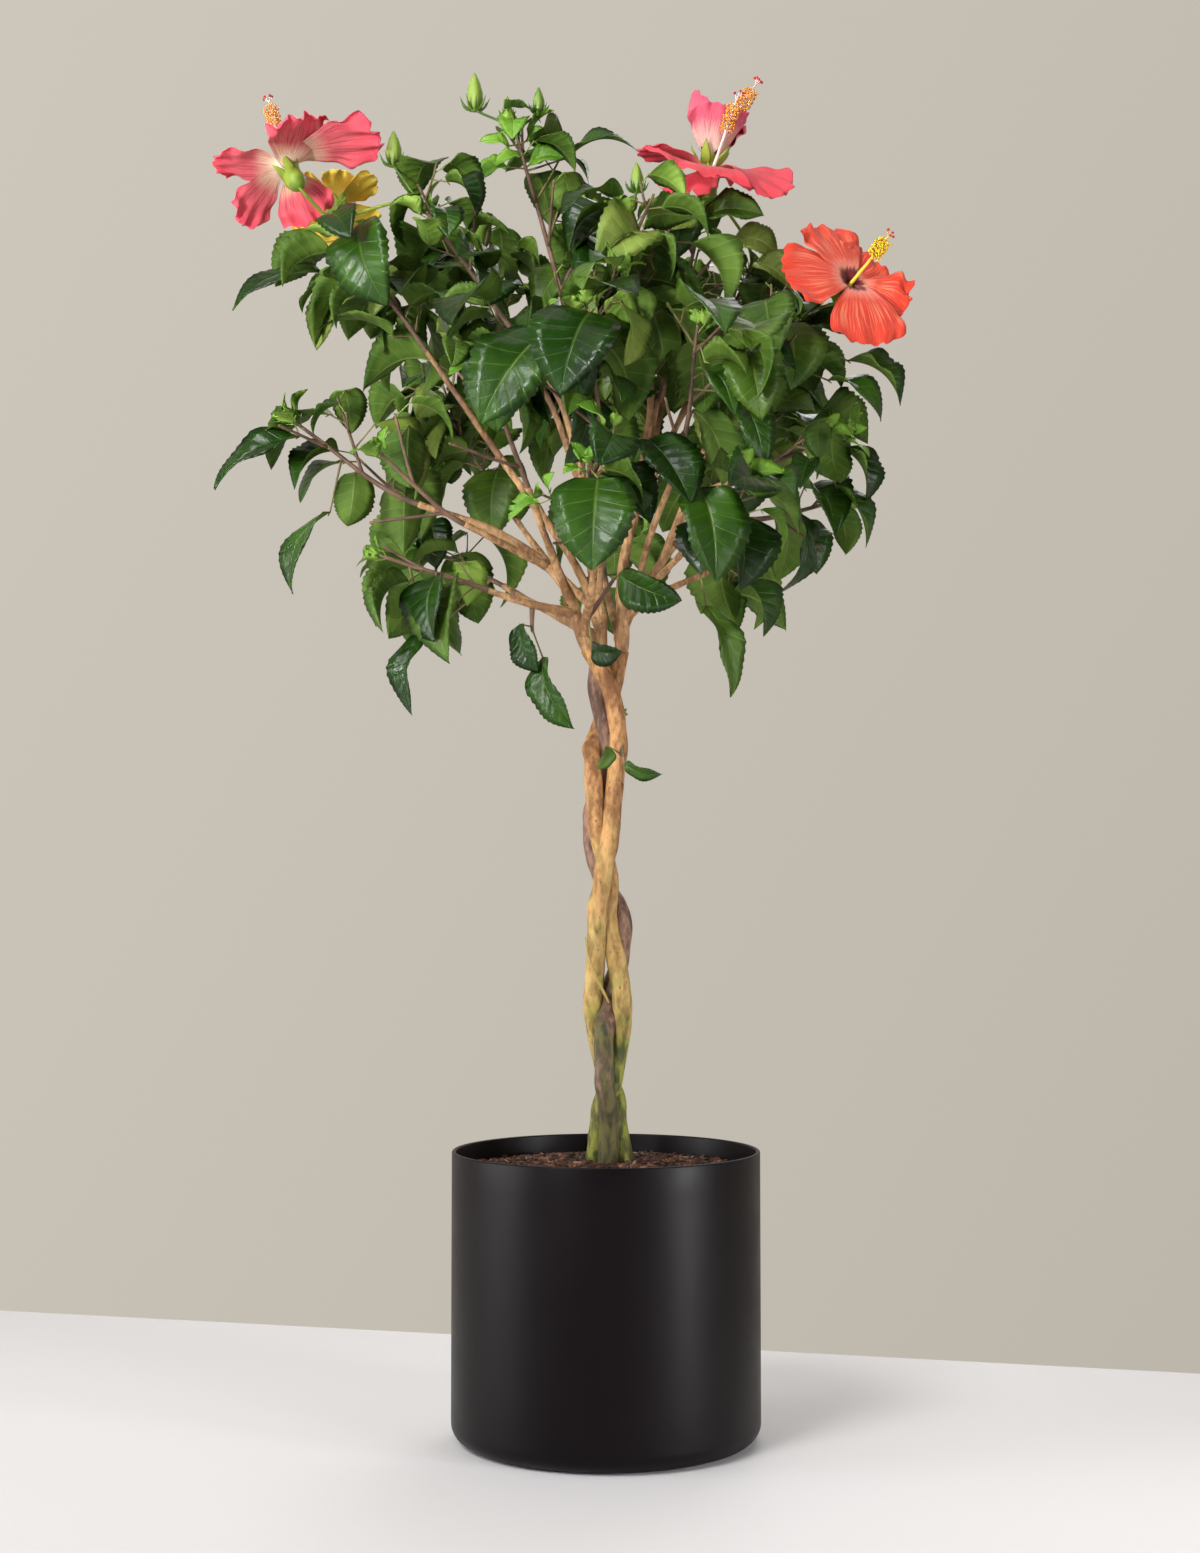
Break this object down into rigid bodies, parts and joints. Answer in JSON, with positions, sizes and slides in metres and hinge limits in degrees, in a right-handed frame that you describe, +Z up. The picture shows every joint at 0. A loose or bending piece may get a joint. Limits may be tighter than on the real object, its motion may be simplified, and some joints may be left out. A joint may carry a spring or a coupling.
{
  "type": "potted hibiscus shrub",
  "caption": "Potted hibiscus grown as a small standard tree: plaited stems rise from a plain round pot into a loose leafy crown with large open blooms and buds.",
  "frame": {"origin": "centre of the pot's flat underside, at the mount base", "axes": "+Z up along the pot's axis and the stems, -Y to the front that the picture shows, +X to the right as seen from the front"},
  "size_m": [0.6814, 0.5808, 1.345],
  "materials": {
    "pot": "satin matte black",
    "soil": "damp bark and fibre chips",
    "bark": "smooth tan bark with fine pores",
    "foliage": "glossy dark green leaves",
    "blossom": "soft satin petals"
  },
  "bodies": {
    "root": {"pot": "pot", "soil": "soil", "stem_1": "bark", "stem_2": "bark", "stem_3": "bark", "bough_leader": "bark", "bough_left": "bark", "bough_top_right": "bark", "bough_upper_left": "bark", "bough_mid_left": "bark", "bough_right": "bark", "bough_left_inner": "bark", "bough_low_left": "bark", "bough_right_low": "bark", "bough_bloom_right": "bark", "bough_right_top": "bark", "bough_top_front": "bark", "bough_front_right": "bark", "bough_front_low_right": "bark", "bough_front_high": "bark", "bough_front_low": "bark", "bough_front_left": "bark", "bough_back_left": "bark", "bough_back_mid": "bark", "bough_back_right": "bark", "bough_back_low_left": "bark", "bough_back_low": "bark", "bough_back_low_right": "bark", "bough_back_high_left": "bark", "bough_back_high_right": "bark", "foliage_leader": "foliage", "foliage_left": "foliage", "foliage_top_right": "foliage", "foliage_upper_left": "foliage", "foliage_mid_left": "foliage", "foliage_right": "foliage", "foliage_left_inner": "foliage", "foliage_low_left": "foliage", "foliage_right_low": "foliage", "foliage_bloom_right": "foliage", "foliage_right_top": "foliage", "foliage_top_front": "foliage", "foliage_front_right": "foliage", "foliage_front_low_right": "foliage", "foliage_front_high": "foliage", "foliage_front_low": "foliage", "foliage_front_left": "foliage", "foliage_back_left": "foliage", "foliage_back_mid": "foliage", "foliage_back_right": "foliage", "foliage_back_low_left": "foliage", "foliage_back_low": "foliage", "foliage_back_low_right": "foliage", "foliage_back_high_left": "foliage", "foliage_back_high_right": "foliage", "foliage_fork_left": "foliage", "foliage_fork_right": "foliage", "foliage_fork_front": "foliage", "foliage_stem_sprig": "foliage"}
  },
  "joints": []
}
